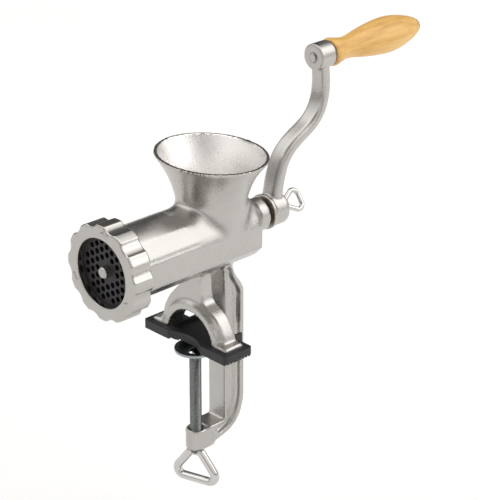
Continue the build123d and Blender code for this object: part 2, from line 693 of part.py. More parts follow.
def make_disc():
    """Dished pressure disc, free to turn on the screw's neck."""
    top = DISC_RIM_Z
    floor = DISC_RIM_Z - DISC_DEPTH
    bottom = floor - DISC_THICK
    inner = 9.5
    with BuildSketch(Plane.XZ) as sketch:
        with BuildLine():
            Polyline((3.0 + RUNNING, floor), (inner, floor), (DISC_R - 2.6, top - 1.2), (DISC_R - 1.8, top),
                     (DISC_R, top), (DISC_R, top - 2.0), (inner + 1.2, bottom), (3.0 + RUNNING, bottom),
                     (3.0 + RUNNING, floor))
        make_face()
    return revolve(sketch.sketch, Axis.Z)


def make_disc_rivet():
    """Domed rivet in the screw's end, which keeps the disc on."""
    floor = DISC_RIM_Z - DISC_DEPTH + PARTING
    head = Location((0, 0, floor)) * Sphere(9.0)
    head = Location((0, 0, -6.6)) * head & rod_z(7.0, floor, floor + 6)
    shank = rod_z(1.5, floor - DISC_THICK - 5.0, floor + 0.5)
    return head + shank


def make_clamp_loop():
    """Wire handle of the clamp screw."""
    loop = wire_loop(LOOP_TOP_Z, LOOP_BAR_Z, 4.5, LOOP_HALF, LOOP_WIRE_R, 6.0)
    return loop.rotate(Axis.Z, LOOP_TURN)


# ---------------------------------------------------------------- build and write
keep(make_body(), "body_casting")
keep(make_pad(), "table_pad")
keep(make_rear_bush(), "rear_bush")
keep(make_key_pin(), "plate_key_pin")
keep(make_plate(), "perforated_plate")
keep(make_ring(), "ring_nut")
keep(make_auger(), "auger")
keep(make_auger_stud(), "auger_stud")
keep(make_knife(), "knife")
keep(make_thrust_washer(), "thrust_washer")
keep(make_crank(), "crank_arm")
keep(make_crank_washer(), "crank_washer")
keep(make_thumb_screw(), "thumb_screw")
keep(make_thumb_loop(), "thumb_screw_loop")
keep(make_spindle(), "grip_spindle")
keep(make_grip_washer(), "grip_washer")
keep(make_grip(), "grip")
keep(make_grip_cap(), "grip_end_cap")
keep(make_clamp_screw(), "clamp_screw")
keep(make_clamp_loop(), "clamp_loop")
keep(make_disc(), "pressure_disc")
keep(make_disc_rivet(), "disc_rivet")
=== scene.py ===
# %% [markdown]
# # Hand crank meat grinder
#
# A size 8 table grinder: a cast aluminium body with a hopper, a feed screw inside the barrel, a
# perforated plate behind a fluted ring nut, an S-shaped crank with a wooden grip, and a clamp
# that holds a table edge between a plastic pad and a dished pressure disc.
#
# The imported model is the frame. It already holds every piece where it belongs, in metres, so
# this lesson never places anything by eye: each step reads a box or a joint from the frame.

# %% Load the frame
import json
import math
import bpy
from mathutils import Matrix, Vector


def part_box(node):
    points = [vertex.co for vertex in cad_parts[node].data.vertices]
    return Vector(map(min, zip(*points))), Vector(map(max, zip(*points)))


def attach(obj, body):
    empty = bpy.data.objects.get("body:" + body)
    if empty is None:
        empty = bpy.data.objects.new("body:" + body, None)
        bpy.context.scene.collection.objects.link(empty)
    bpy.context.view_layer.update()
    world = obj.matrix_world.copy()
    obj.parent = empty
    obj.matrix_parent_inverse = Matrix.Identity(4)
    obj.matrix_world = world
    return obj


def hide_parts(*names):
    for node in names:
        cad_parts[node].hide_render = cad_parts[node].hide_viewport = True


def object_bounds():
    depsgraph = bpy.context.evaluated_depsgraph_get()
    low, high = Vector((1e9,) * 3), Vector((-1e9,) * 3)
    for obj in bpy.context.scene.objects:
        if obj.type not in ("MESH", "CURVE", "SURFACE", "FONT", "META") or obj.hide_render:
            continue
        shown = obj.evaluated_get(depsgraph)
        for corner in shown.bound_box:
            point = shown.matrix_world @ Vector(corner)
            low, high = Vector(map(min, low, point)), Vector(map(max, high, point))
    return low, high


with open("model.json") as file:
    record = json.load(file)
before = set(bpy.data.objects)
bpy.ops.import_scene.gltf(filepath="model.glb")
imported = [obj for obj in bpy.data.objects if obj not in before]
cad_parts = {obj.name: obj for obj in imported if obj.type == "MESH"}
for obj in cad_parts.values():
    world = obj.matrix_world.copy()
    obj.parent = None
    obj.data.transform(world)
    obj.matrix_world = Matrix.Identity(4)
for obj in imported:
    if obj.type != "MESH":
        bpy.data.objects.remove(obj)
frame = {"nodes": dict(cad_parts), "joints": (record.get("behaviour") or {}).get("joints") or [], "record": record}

from types import SimpleNamespace

import bmesh
import bpy
import numpy as np
from mathutils import Vector

NODES = frame["nodes"]
JOINTS = {joint["name"]: joint for joint in frame["joints"]}
CAD_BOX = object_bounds()
MM = 0.001
AXIS_Z = JOINTS["crank_turn"]["pos_m"][2]
print("CAD box", [round(v, 4) for corner in CAD_BOX for v in corner])

# %% [markdown]
# ## The camera
#
# A long lens a metre and a half away gives the calm, nearly parallel view of a catalogue
# picture. The camera stands 46 degrees round to the right of the ring nut and looks down by 24
# degrees. The aim point is stated along the camera's own right and up directions, which keeps
# the framing separate from the viewing angle.

# %% Camera
CAMERA_AZIMUTH = math.radians(46.25)
CAMERA_HEIGHT = math.radians(24.26)
CAMERA_DISTANCE = 1.5788
AIM_RIGHT = 0.0343
AIM_UP = 0.0723
LENS_MM = 144.0

ca, sa = math.cos(CAMERA_AZIMUTH), math.sin(CAMERA_AZIMUTH)
ce, se = math.cos(CAMERA_HEIGHT), math.sin(CAMERA_HEIGHT)
right = Vector((ca, sa, 0.0))
ahead = Vector((-sa * ce, ca * ce, -se))
up = right.cross(ahead)
lens = bpy.data.cameras.new("camera")
lens.lens = LENS_MM
lens.sensor_width = 36.0
lens.clip_end = 20.0
camera = bpy.data.objects.new("camera", lens)
bpy.context.scene.collection.objects.link(camera)
camera.location = right * AIM_RIGHT + up * AIM_UP - ahead * CAMERA_DISTANCE
camera.rotation_euler = ahead.to_track_quat("-Z", "Y").to_euler()
bpy.context.scene.camera = camera
print("camera at", [round(v, 3) for v in camera.location])

# %% [markdown]
# ## Floor and light
#
# Bright metal shows its surroundings, not its own colour. A plain white room would wash the
# casting out, so the sky is bright overhead and has a dark band along the horizon, a dark wall
# behind the grinder and a dark patch above it. One soft lamp and one narrow strip give the
# highlights. The darker areas are what draw the facets of the barrel, the ground rim and the
# curve of the hopper.

# %% Floor
# The clamp screw drops by its whole travel when the clamp opens, so the floor leaves room for it.
FLOOR_GAP = 0.006
clamp_joint = next(j for j in frame["record"]["behaviour"]["joints"] if j["name"] == "clamp_travel")
floor_z = CAD_BOX[0][2] - clamp_joint["range_m"][1] - FLOOR_GAP
floor_mesh = bpy.data.meshes.new("floor")
FLOOR_HALF = 6.0
floor_mesh.from_pydata(
    [(-FLOOR_HALF, -FLOOR_HALF, floor_z), (FLOOR_HALF, -FLOOR_HALF, floor_z),
     (FLOOR_HALF, FLOOR_HALF, floor_z), (-FLOOR_HALF, FLOOR_HALF, floor_z)],
    [], [(0, 1, 2, 3)])
floor = bpy.data.objects.new("floor", floor_mesh)
bpy.context.scene.collection.objects.link(floor)
floor_paint = bpy.data.materials.new("pale floor")
floor_paint.use_nodes = True
floor_shader = floor_paint.node_tree.nodes["Principled BSDF"]
floor_shader.inputs["Base Color"].default_value = (0.96, 0.96, 0.96, 1.0)
floor_shader.inputs["Roughness"].default_value = 0.9
floor_shader.inputs["Specular IOR Level"].default_value = 0.1
floor.data.materials.append(floor_paint)
print("floor at", round(floor_z, 4))

# %% World
world = bpy.data.worlds.new("studio")
bpy.context.scene.world = world
world.use_nodes = True
sky = world.node_tree.nodes
wires = world.node_tree.links
direction = sky.new("ShaderNodeTexCoord")
split = sky.new("ShaderNodeSeparateXYZ")
wires.new(direction.outputs["Generated"], split.inputs[0])
FULL_SKY = 2.05
SKY_STEPS = (
    # sine of the angle above the horizon, share of the full sky
    (0.0, 0.13), (0.09, 0.16), (0.24, 0.48), (0.45, 0.52), (0.95, 1.0),
)
by_height = sky.new("ShaderNodeValToRGB")
stops = by_height.color_ramp.elements
for step, (lift, share) in enumerate(SKY_STEPS):
    stop = stops[0] if step == 0 else stops.new(lift)
    stop.position = lift
    stop.color = (share * FULL_SKY, share * FULL_SKY, share * FULL_SKY, 1.0)
stops.remove(stops[-1])          # the ramp's own white end
wires.new(split.outputs["Z"], by_height.inputs["Fac"])

# %% Helper: dark patch in the sky
def dark_patch(light, place, edge, core, left):
    """Dim the light around a direction; edge and core are cosines, left is the share kept."""
    towards = sky.new("ShaderNodeVectorMath")
    towards.operation = "DOT_PRODUCT"
    towards.inputs[1].default_value = Vector(place).normalized()
    wires.new(direction.outputs["Generated"], towards.inputs[0])
    shade = sky.new("ShaderNodeMapRange")
    shade.interpolation_type = "SMOOTHSTEP"
    shade.inputs["From Min"].default_value = edge
    shade.inputs["From Max"].default_value = core
    shade.inputs["To Min"].default_value = 1.0
    shade.inputs["To Max"].default_value = left
    wires.new(towards.outputs["Value"], shade.inputs["Value"])
    dimmed = sky.new("ShaderNodeMath")
    dimmed.operation = "MULTIPLY"
    wires.new(light, dimmed.inputs[0])
    wires.new(shade.outputs["Result"], dimmed.inputs[1])
    return dimmed.outputs[0]


# %% Dark wall and dark ceiling
DARK_WALL = (-0.56, 0.64, 0.50)      # where the dark wall stands, seen from the grinder
DARK_CEILING = (0.32, -0.36, 0.86)   # a smaller dark patch overhead
sky_light = dark_patch(by_height.outputs["Color"], DARK_WALL, 0.72, 0.93, 0.12)
sky_light = dark_patch(sky_light, DARK_CEILING, 0.80, 0.97, 0.18)
wires.new(sky_light, sky["Background"].inputs["Strength"])
sky["Background"].inputs["Color"].default_value = (1.0, 0.985, 0.965, 1.0)
bpy.context.scene.view_settings.view_transform = "Standard"
print("world set")

# %% Lamps
LAMPS = (
    # name, place in metres, width, height, power in watts
    ("right softbox", (1.15, 1.45, 1.35), 1.7, 1.3, 7.0),
    ("strip light", (1.40, 1.05, 0.44), 0.20, 0.8, 1.1),
)
LAMP_AIM = Vector((0.0, 0.04, 0.06))
for name, place, width, height, power in LAMPS:
    data = bpy.data.lights.new(name, "AREA")
    data.shape = "RECTANGLE"
    data.size = width
    data.size_y = height
    data.energy = power
    lamp = bpy.data.objects.new(name, data)
    lamp.location = place
    lamp.rotation_euler = (LAMP_AIM - Vector(place)).to_track_quat("-Z", "Y").to_euler()
    bpy.context.scene.collection.objects.link(lamp)
print(len(LAMPS), "lamps")

# %% [markdown]
# ## Finishes
#
# Every finish is a small node tree read from Object coordinates, so it needs no unwrapping and
# stays put when a body moves. Each one has the same plan: a base colour, a roughness that drifts
# across the surface, and a fine bump for the grain. One helper builds that plan, and each finish
# only says how coarse and how strong its own marks are.

# %% Shared plan for a finish
def metal_or_plastic(name, colour, metallic, rough, drift, grain_scale, grain_depth, tint=0.06):
    """A finish with drifting colour and roughness and a fine grain.

    rough is the middle roughness and drift is how far it strays; grain_scale is in marks per
    metre; grain_depth is the bump's depth in metres; tint is how far the colour strays.
    """
    material = bpy.data.materials.new(name)
    material.use_nodes = True
    nodes = material.node_tree.nodes
    links = material.node_tree.links
    shader = nodes["Principled BSDF"]
    shader.inputs["Metallic"].default_value = metallic
    place = nodes.new("ShaderNodeTexCoord")
    mapping = nodes.new("ShaderNodeMapping")
    links.new(place.outputs["Object"], mapping.inputs["Vector"])

    broad = nodes.new("ShaderNodeTexNoise")
    broad.inputs["Scale"].default_value = 55.0
    broad.inputs["Detail"].default_value = 4.0
    links.new(place.outputs["Object"], broad.inputs["Vector"])

    fine = nodes.new("ShaderNodeTexNoise")
    fine.inputs["Scale"].default_value = grain_scale
    fine.inputs["Detail"].default_value = 3.0
    fine.inputs["Roughness"].default_value = 0.65
    links.new(mapping.outputs["Vector"], fine.inputs["Vector"])

    hue = nodes.new("ShaderNodeMix")
    hue.data_type = "RGBA"
    hue.inputs["A"].default_value = (*[c * (1 - tint) for c in colour], 1)
    hue.inputs["B"].default_value = (*[min(1.0, c * (1 + tint)) for c in colour], 1)
    links.new(broad.outputs["Fac"], hue.inputs["Factor"])
    links.new(hue.outputs["Result"], shader.inputs["Base Color"])

    both = nodes.new("ShaderNodeMath")
    both.operation = "ADD"
    links.new(broad.outputs["Fac"], both.inputs[0])
    links.new(fine.outputs["Fac"], both.inputs[1])
    sheen = nodes.new("ShaderNodeMapRange")
    sheen.inputs["From Min"].default_value = 0.6
    sheen.inputs["From Max"].default_value = 1.4
    sheen.inputs["To Min"].default_value = rough - drift
    sheen.inputs["To Max"].default_value = rough + drift
    links.new(both.outputs[0], sheen.inputs["Value"])
    links.new(sheen.outputs["Result"], shader.inputs["Roughness"])

    bump = nodes.new("ShaderNodeBump")
    bump.inputs["Strength"].default_value = 1.0
    bump.inputs["Distance"].default_value = grain_depth
    links.new(fine.outputs["Fac"], bump.inputs["Height"])
    links.new(bump.outputs["Normal"], shader.inputs["Normal"])
    return SimpleNamespace(material=material, shader=shader, nodes=nodes, links=links, fine=fine,
                           bump=bump, sheen=sheen, hue=hue)


# %% [markdown]
# Sand-cast aluminium that has been tumbled is pale and satin, and its skin has a grain about a
# millimetre across. Inside the hopper it was left rougher than outside, and there its colour is
# also painted paler, as painted light for the light that bounces round inside the hopper. The
# rim's top face was ground flat. The casting carries two attributes painted onto its vertices
# later: one for the hopper's inside and one, "ground_edge", for the ground rim. This finish reads
# the first to deepen the grain and to paint the paler colour, and the second to smooth the grain away.

# %% Cast aluminium
cast = metal_or_plastic("cast aluminium", (0.465, 0.45, 0.432), 1.0, 0.29, 0.08, 950.0, 0.00004, tint=0.09)
# This attribute marks the hopper's inside: real rough skin for the bump, painted light for the colour.
skin = cast.nodes.new("ShaderNodeAttribute")
skin.attribute_name = "rough_skin_and_painted_light"
deeper = cast.nodes.new("ShaderNodeMapRange")
deeper.inputs["To Min"].default_value = 0.00010
deeper.inputs["To Max"].default_value = 0.00032
cast.links.new(skin.outputs["Fac"], deeper.inputs["Value"])
# Painted light: inside the hopper the colour is mixed towards a pale grey to stand in for bounced light.
painted_light_paler = cast.nodes.new("ShaderNodeMix")
painted_light_paler.data_type = "RGBA"
painted_light_paler.inputs["B"].default_value = (0.80, 0.78, 0.76, 1)
cast.links.new(skin.outputs["Fac"], painted_light_paler.inputs["Factor"])
cast.links.new(cast.hue.outputs["Result"], painted_light_paler.inputs["A"])
cast.links.new(painted_light_paler.outputs["Result"], cast.shader.inputs["Base Color"])
edge = cast.nodes.new("ShaderNodeAttribute")
edge.attribute_name = "ground_edge"
for wide, narrow, share in ((deeper, cast.bump.inputs["Distance"], 0.92),
                            (cast.sheen, cast.shader.inputs["Roughness"], 0.62)):
    keep = cast.nodes.new("ShaderNodeMath")
    keep.operation = "MULTIPLY_ADD"
    keep.inputs[1].default_value = -share
    keep.inputs[2].default_value = 1.0
    cast.links.new(edge.outputs["Fac"], keep.inputs[0])
    less = cast.nodes.new("ShaderNodeMath")
    less.operation = "MULTIPLY"
    cast.links.new(wide.outputs["Result"], less.inputs[0])
    cast.links.new(keep.outputs[0], less.inputs[1])
    cast.links.new(less.outputs[0], narrow)
CAST = cast.material
print("finish:", CAST.name)

# %% Other finishes
OTHER_FINISHES = {
    # name: colour, metallic, roughness, drift, grain marks per metre, grain depth, tint
    "polished aluminium": ((0.46, 0.445, 0.425), 1.0, 0.21, 0.06, 1300.0, 0.00003, 0.06),
    "plate steel": ((0.045, 0.042, 0.044), 0.8, 0.46, 0.06, 2200.0, 0.00002, 0.06),
    "ground steel": ((0.42, 0.41, 0.40), 1.0, 0.30, 0.05, 2600.0, 0.00001, 0.06),
    "zinc plate": ((0.19, 0.20, 0.195), 1.0, 0.28, 0.08, 900.0, 0.00002, 0.06),
    "bright wire": ((0.58, 0.57, 0.56), 1.0, 0.09, 0.04, 600.0, 0.00001, 0.03),
    "blued zinc": ((0.30, 0.34, 0.36), 1.0, 0.30, 0.08, 900.0, 0.00002, 0.06),
    "bearing bronze": ((0.62, 0.43, 0.22), 1.0, 0.38, 0.06, 1800.0, 0.00001, 0.06),
    "pressed fibre": ((0.34, 0.15, 0.10), 0.0, 0.75, 0.08, 3000.0, 0.00005, 0.06),
    "pad plastic": ((0.010, 0.010, 0.012), 0.0, 0.50, 0.07, 1900.0, 0.00003, 0.2),
}
POLISHED, PLATE, HARD, ZINC, WIRE, DISH, BRONZE, FIBRE, PLASTIC = (
    metal_or_plastic(name, *plan).material for name, plan in OTHER_FINISHES.items())
print("finishes:", len(bpy.data.materials))

# %% [markdown]
# Beech shows short dark flecks and long pale streaks that run with the grain, under a thin coat
# of varnish. The streaks are noise squeezed across the grip and stretched along it. The varnish
# is the shader's own coat, set as a plain value.

# %% Varnished beech
beech = metal_or_plastic("varnished beech", (0.72, 0.47, 0.22), 0.0, 0.42, 0.05, 1.0, 0.00004)
beech.shader.inputs["Coat Weight"].default_value = 0.12
beech.shader.inputs["Coat Roughness"].default_value = 0.22
long_way = beech.nodes["Mapping"]
long_way.inputs["Scale"].default_value = (1000.0, 22.0, 1000.0)
bands = beech.nodes.new("ShaderNodeTexNoise")
bands.inputs["Scale"].default_value = 1.0
bands.inputs["Detail"].default_value = 2.0
band_way = beech.nodes.new("ShaderNodeMapping")
band_way.inputs["Scale"].default_value = (260.0, 5.0, 260.0)
beech.links.new(beech.nodes["Texture Coordinate"].outputs["Object"], band_way.inputs["Vector"])
beech.links.new(band_way.outputs["Vector"], bands.inputs["Vector"])
grain = beech.nodes.new("ShaderNodeMath")
grain.operation = "MULTIPLY_ADD"
grain.inputs[1].default_value = 0.55
beech.links.new(beech.fine.outputs["Fac"], grain.inputs[0])
beech.links.new(bands.outputs["Fac"], grain.inputs[2])
wood_tones = beech.nodes.new("ShaderNodeValToRGB")
wood_tones.color_ramp.elements[0].position = 0.40
wood_tones.color_ramp.elements[0].color = (0.50, 0.25, 0.055, 1)
wood_tones.color_ramp.elements[1].position = 1.0
wood_tones.color_ramp.elements[1].color = (0.80, 0.50, 0.165, 1)
middle_tone = wood_tones.color_ramp.elements.new(0.70)
middle_tone.color = (0.70, 0.40, 0.105, 1)
beech.links.new(grain.outputs[0], wood_tones.inputs["Fac"])
beech.links.new(wood_tones.outputs["Color"], beech.shader.inputs["Base Color"])
BEECH = beech.material
print("finish:", BEECH.name)

# %% [markdown]
# ## Which CAD node gets which finish
#
# Turned, ground and moulded pieces already have the right shape in the frame. They keep their CAD
# mesh exactly as it is, and only their material changes.

# %% Carried-over nodes
FINISH_OF = {
    "rear_bush": BRONZE, "plate_key_pin": HARD, "perforated_plate": PLATE, "auger": CAST,
    "auger_stud": HARD, "knife": HARD, "thrust_washer": FIBRE, "crank_washer": ZINC,
    "thumb_screw": ZINC, "grip_spindle": POLISHED, "grip_washer": ZINC, "grip_end_cap": ZINC,
    "pressure_disc": DISH, "disc_rivet": WIRE, "table_pad": PLASTIC,
    "thumb_screw_loop": WIRE, "grip": BEECH,
}
for node, finish in FINISH_OF.items():
    NODES[node].data.materials.clear()
    NODES[node].data.materials.append(finish)
print(len(FINISH_OF), "nodes keep their CAD shape")

# %% [markdown]
# ## Cast pieces
#
# The CAD casting has knife-sharp inner corners, and no foundry can pour those. A voxel remesh
# turns a copy of it into one even skin, and a few rounds of averaging each point with its
# neighbours then round the corners, as sand and tumbling do. Where the hopper grows out of the
# barrel the radius is larger, so those points are averaged many more times. Bores must stay true,
# so their points are held.

# %% Helper: even skin from a CAD node
def even_skin(name, node, voxel):
    """A copy of a CAD node, welded and rebuilt from even quads."""
    mesh = NODES[node].data.copy()
    mesh.name = name
    work = bmesh.new()
    work.from_mesh(mesh)
    bmesh.ops.remove_doubles(work, verts=work.verts, dist=0.000004)
    work.to_mesh(mesh)
    work.free()
    piece = bpy.data.objects.new(name, mesh)
    bpy.context.scene.collection.objects.link(piece)
    remesh = piece.modifiers.new("even", "REMESH")
    remesh.mode = "VOXEL"
    remesh.voxel_size = voxel
    ready = piece.evaluated_get(bpy.context.evaluated_depsgraph_get())
    skin_mesh = bpy.data.meshes.new_from_object(ready)
    piece.modifiers.clear()
    piece.data = skin_mesh
    piece.data.name = name
    return piece


def read_points(mesh):
    """Vertex places as an array."""
    points = np.empty(len(mesh.vertices) * 3)
    mesh.vertices.foreach_get("co", points)
    return points.reshape(-1, 3)


def soften(mesh, rounds, share):
    """Move each point towards the mean of its neighbours; share is how far, for each point."""
    points = read_points(mesh)
    edges = np.empty(len(mesh.edges) * 2, dtype=np.int64)
    mesh.edges.foreach_get("vertices", edges)
    first, second = edges.reshape(-1, 2).T
    count = np.bincount(first, minlength=len(points)) + np.bincount(second, minlength=len(points))
    for _ in range(rounds):
        mean = np.empty_like(points)
        for axis in range(3):
            total = np.bincount(first, points[second, axis], len(points))
            total += np.bincount(second, points[first, axis], len(points))
            mean[:, axis] = total / np.maximum(count, 1)
        points += (mean - points) * share[:, None]
    mesh.vertices.foreach_set("co", points.ravel())
    mesh.update()


def smooth_by_angle(piece, degrees=35.0):
    """Smooth shading, with edges sharper than the angle kept crisp."""
    piece.data.shade_smooth()
    piece.data.set_sharp_from_angle(angle=math.radians(degrees))


def finish_piece(piece, material, body, node):
    """Give a new piece its finish, hide the CAD node it replaces and parent it to its body."""
    piece.data.materials.clear()
    piece.data.materials.append(material)
    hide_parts(node)
    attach(piece, body)


# %% Body casting
BORE_SLACK = 0.0006
bore_radius = (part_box("auger")[1][0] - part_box("auger")[0][0]) / 2 + BORE_SLACK
HOPPER_Y = 0.0187
HOPPER_MOUTH = 0.0014            # how far below the rim's top face the edge is held
RIM_SNAP = 0.0007                # points this near the top face lie on it, as grinding leaves them
rim_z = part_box("body_casting")[1][2]
body_piece = even_skin("casting", "body_casting", 0.00118)
places = read_points(body_piece.data)
radius = np.hypot(places[:, 0], places[:, 2] - AXIS_Z)
barrel_low, barrel_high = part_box("auger")
along_barrel = (places[:, 1] < barrel_high[1]) & (places[:, 1] > barrel_low[1])
in_bore = (radius < bore_radius + BORE_SLACK) & along_barrel
at_rim = places[:, 2] > rim_z - HOPPER_MOUTH
soften(body_piece.data, 3, np.where(in_bore | at_rim, 0.0, 0.5))
places = read_points(body_piece.data)
ground = places[:, 2] > rim_z - RIM_SNAP
places[ground, 2] = rim_z
body_piece.data.vertices.foreach_set("co", places.ravel())

# %% Wide blends where the hopper and the stand meet the barrel
CORE_RADIUS = 0.0262             # inside this lie the bore and the hopper's throat
NECK_HEIGHT, NECK_REACH = 0.021, 0.017       # above the barrel's axis, and how far it spreads
NECK_WIDE, NECK_FADE = 0.047, 0.01
WEB_HEIGHT, WEB_REACH = -0.0285, 0.006
WEB_HALF, WEB_FRONT = 0.021, -0.012
STEP_Y, STEP_REACH = -0.003, 0.004
STEP_LOW, STEP_HIGH = 0.009, 0.045
from_hopper = np.hypot(places[:, 0], places[:, 1] - HOPPER_Y)
height = places[:, 2] - AXIS_Z
blend = np.clip(1 - np.abs(height - NECK_HEIGHT) / NECK_REACH, 0, 1)
blend *= np.clip((NECK_WIDE - from_hopper) / NECK_FADE, 0, 1)
blend[(radius < CORE_RADIUS) | (from_hopper < CORE_RADIUS)] = 0
soften(body_piece.data, 90, blend * 0.7)
web_root = np.clip(1 - np.abs(height - WEB_HEIGHT) / WEB_REACH, 0, 1)
web_root *= np.abs(places[:, 0]) < WEB_HALF
web_root[(radius < CORE_RADIUS) | (places[:, 1] < WEB_FRONT)] = 0
soften(body_piece.data, 40, web_root * 0.6)
arch_step = np.clip(1 - np.abs(places[:, 1] - STEP_Y) / STEP_REACH, 0, 1)
arch_step *= (places[:, 2] < STEP_HIGH) & (places[:, 2] > STEP_LOW)
soften(body_piece.data, 10, arch_step * 0.5)
smooth_by_angle(body_piece, 50.0)
print("casting has", len(body_piece.data.polygons), "faces")

# %% Paint the rough skin with its painted light, and the ground rim
places = read_points(body_piece.data)
normals = np.empty(len(body_piece.data.vertices) * 3)
body_piece.data.vertices.foreach_get("normal", normals)
normals = normals.reshape(-1, 3)
inward = -(places[:, 0] * normals[:, 0] + (places[:, 1] - HOPPER_Y) * normals[:, 1])
HOPPER_REACH = 0.06
near_hopper = np.hypot(places[:, 0], places[:, 1] - HOPPER_Y) < HOPPER_REACH
# These points get the deeper grain and the paler colour that is painted light inside the hopper.
inside = (inward > 0.001) & (places[:, 2] > AXIS_Z + 0.02) & near_hopper
rough = body_piece.data.attributes.new("rough_skin_and_painted_light", "FLOAT", "POINT")
rough.data.foreach_set("value", inside.astype(np.float32))
ground_edge = body_piece.data.attributes.new("ground_edge", "FLOAT", "POINT")
on_rim = places[:, 2] > rim_z - RIM_SNAP / 2
ground_edge.data.foreach_set("value", on_rim.astype(np.float32))
finish_piece(body_piece, CAST, "casting", "body_casting")
print("rough skin on", int(inside.sum()), "points")

# %% Crank arm
crank_piece = even_skin("crank", "crank_arm", 0.0006)
soften(crank_piece.data, 6, np.full(len(crank_piece.data.vertices), 0.5))
smooth_by_angle(crank_piece, 50.0)
finish_piece(crank_piece, CAST, "drive", "crank_arm")
print("crank has", len(crank_piece.data.polygons), "faces")

# %% Ring nut
ring_piece = even_skin("ring", "ring_nut", 0.0006)
places = read_points(ring_piece.data)
radius = np.hypot(places[:, 0], places[:, 2] - AXIS_Z)
RING_THREAD_R = 0.0345
threads = (radius < RING_THREAD_R) & (places[:, 1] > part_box("perforated_plate")[0][1])
soften(ring_piece.data, 2, np.where(threads, 0.0, 0.4))
smooth_by_angle(ring_piece, 50.0)
finish_piece(ring_piece, POLISHED, "ring", "ring_nut")
print("ring has", len(ring_piece.data.polygons), "faces")

# %% [markdown]
# ## Threads and wire, with Geometry Nodes
#
# A thread is a rule: the radius of a bar rises and falls as you climb it, and the rise turns
# once round the bar for every pitch. Geometry Nodes can say exactly that. A flat grid is rolled
# up: one side of the grid becomes the angle, the other becomes the height, and the first and
# last rows shrink to a point so that the ends are closed. Pitch, depth and length are inputs, so
# the same tree could make any other bar.

# %% Helper: start a tree
def new_tree(name, inputs):
    """An empty Geometry Nodes tree with named inputs; returns the tree and its group nodes."""
    tree = bpy.data.node_groups.new(name, "GeometryNodeTree")
    tree.interface.new_socket("Geometry", in_out="INPUT", socket_type="NodeSocketGeometry")
    for label, kind in inputs:
        tree.interface.new_socket(label, in_out="INPUT", socket_type=kind)
    tree.interface.new_socket("Geometry", in_out="OUTPUT", socket_type="NodeSocketGeometry")
    return tree, tree.nodes.new("NodeGroupInput"), tree.nodes.new("NodeGroupOutput")


def math_node(tree, operation, first, second=None, third=None):
    """One Math node; each operand is a socket or a number."""
    node = tree.nodes.new("ShaderNodeMath")
    node.operation = operation
    for socket, value in zip(node.inputs, (first, second, third)):
        if value is None:
            continue
        if isinstance(value, (int, float)):
            socket.default_value = value
        else:
            tree.links.new(value, socket)
    return node.outputs[0]


def end_tree(tree, shape, given, made):
    """Close a tree with Realize Instances and Set Material."""
    whole = tree.nodes.new("GeometryNodeRealizeInstances")
    tree.links.new(shape, whole.inputs[0])
    coat = tree.nodes.new("GeometryNodeSetMaterial")
    tree.links.new(whole.outputs[0], coat.inputs["Geometry"])
    tree.links.new(given.outputs["Material"], coat.inputs["Material"])
    tree.links.new(coat.outputs[0], made.inputs[0])


def run_tree(name, tree, mesh, values):
    """Run a tree on a mesh and return the result as a plain piece."""
    holder = bpy.data.objects.new(name, mesh)
    bpy.context.scene.collection.objects.link(holder)
    modifier = holder.modifiers.new("make", "NODES")
    modifier.node_group = tree
    for item in tree.interface.items_tree:
        if item.in_out == "INPUT" and item.name in values:
            modifier[item.identifier] = values[item.name]
    ready = holder.evaluated_get(bpy.context.evaluated_depsgraph_get())
    result = bpy.data.meshes.new_from_object(ready)
    holder.modifiers.clear()
    holder.data = result
    result.name = name
    work = bmesh.new()
    work.from_mesh(result)
    bmesh.ops.remove_doubles(work, verts=work.verts, dist=0.000001)
    bmesh.ops.recalc_face_normals(work, faces=work.faces)
    work.to_mesh(result)
    work.free()
    return holder


# %% Tree: threaded bar
thread_tree, given, made = new_tree("threaded bar", (
    ("Radius", "NodeSocketFloat"), ("Depth", "NodeSocketFloat"), ("Pitch", "NodeSocketFloat"),
    ("Bottom", "NodeSocketFloat"), ("Length", "NodeSocketFloat"), ("Plain end", "NodeSocketFloat"),
    ("Rows", "NodeSocketInt"), ("Sides", "NodeSocketInt"), ("Material", "NodeSocketMaterial")))
sheet = thread_tree.nodes.new("GeometryNodeMeshGrid")
sheet.inputs["Size X"].default_value = 1.0
sheet.inputs["Size Y"].default_value = 1.0
thread_tree.links.new(given.outputs["Sides"], sheet.inputs["Vertices X"])
thread_tree.links.new(given.outputs["Rows"], sheet.inputs["Vertices Y"])
spot = thread_tree.nodes.new("GeometryNodeInputPosition")
parts = thread_tree.nodes.new("ShaderNodeSeparateXYZ")
thread_tree.links.new(spot.outputs[0], parts.inputs[0])
angle = math_node(thread_tree, "MULTIPLY", math_node(thread_tree, "ADD", parts.outputs[0], 0.5), 2 * math.pi)
row_share = math_node(thread_tree, "ADD", parts.outputs[1], 0.5)
last_row = math_node(thread_tree, "SUBTRACT", given.outputs["Rows"], 1.0)
row = math_node(thread_tree, "MULTIPLY", row_share, last_row)
climb = math_node(thread_tree, "DIVIDE", math_node(thread_tree, "SUBTRACT", row, 1.0),
                  math_node(thread_tree, "SUBTRACT", last_row, 2.0))
climb = math_node(thread_tree, "MINIMUM", math_node(thread_tree, "MAXIMUM", climb, 0.0), 1.0)
rise = math_node(thread_tree, "MULTIPLY", climb, given.outputs["Length"])
turns = math_node(thread_tree, "SUBTRACT", math_node(thread_tree, "DIVIDE", rise, given.outputs["Pitch"]),
                  math_node(thread_tree, "DIVIDE", angle, 2 * math.pi))
wave = math_node(thread_tree, "PINGPONG", turns, 0.5)
full_wave = math_node(thread_tree, "MULTIPLY", wave, 2.0)
groove = math_node(thread_tree, "MULTIPLY", full_wave, given.outputs["Depth"])
threaded = math_node(thread_tree, "SUBTRACT", given.outputs["Length"], given.outputs["Plain end"])
below_plain = math_node(thread_tree, "LESS_THAN", rise, threaded)
groove = math_node(thread_tree, "MULTIPLY", groove, below_plain)
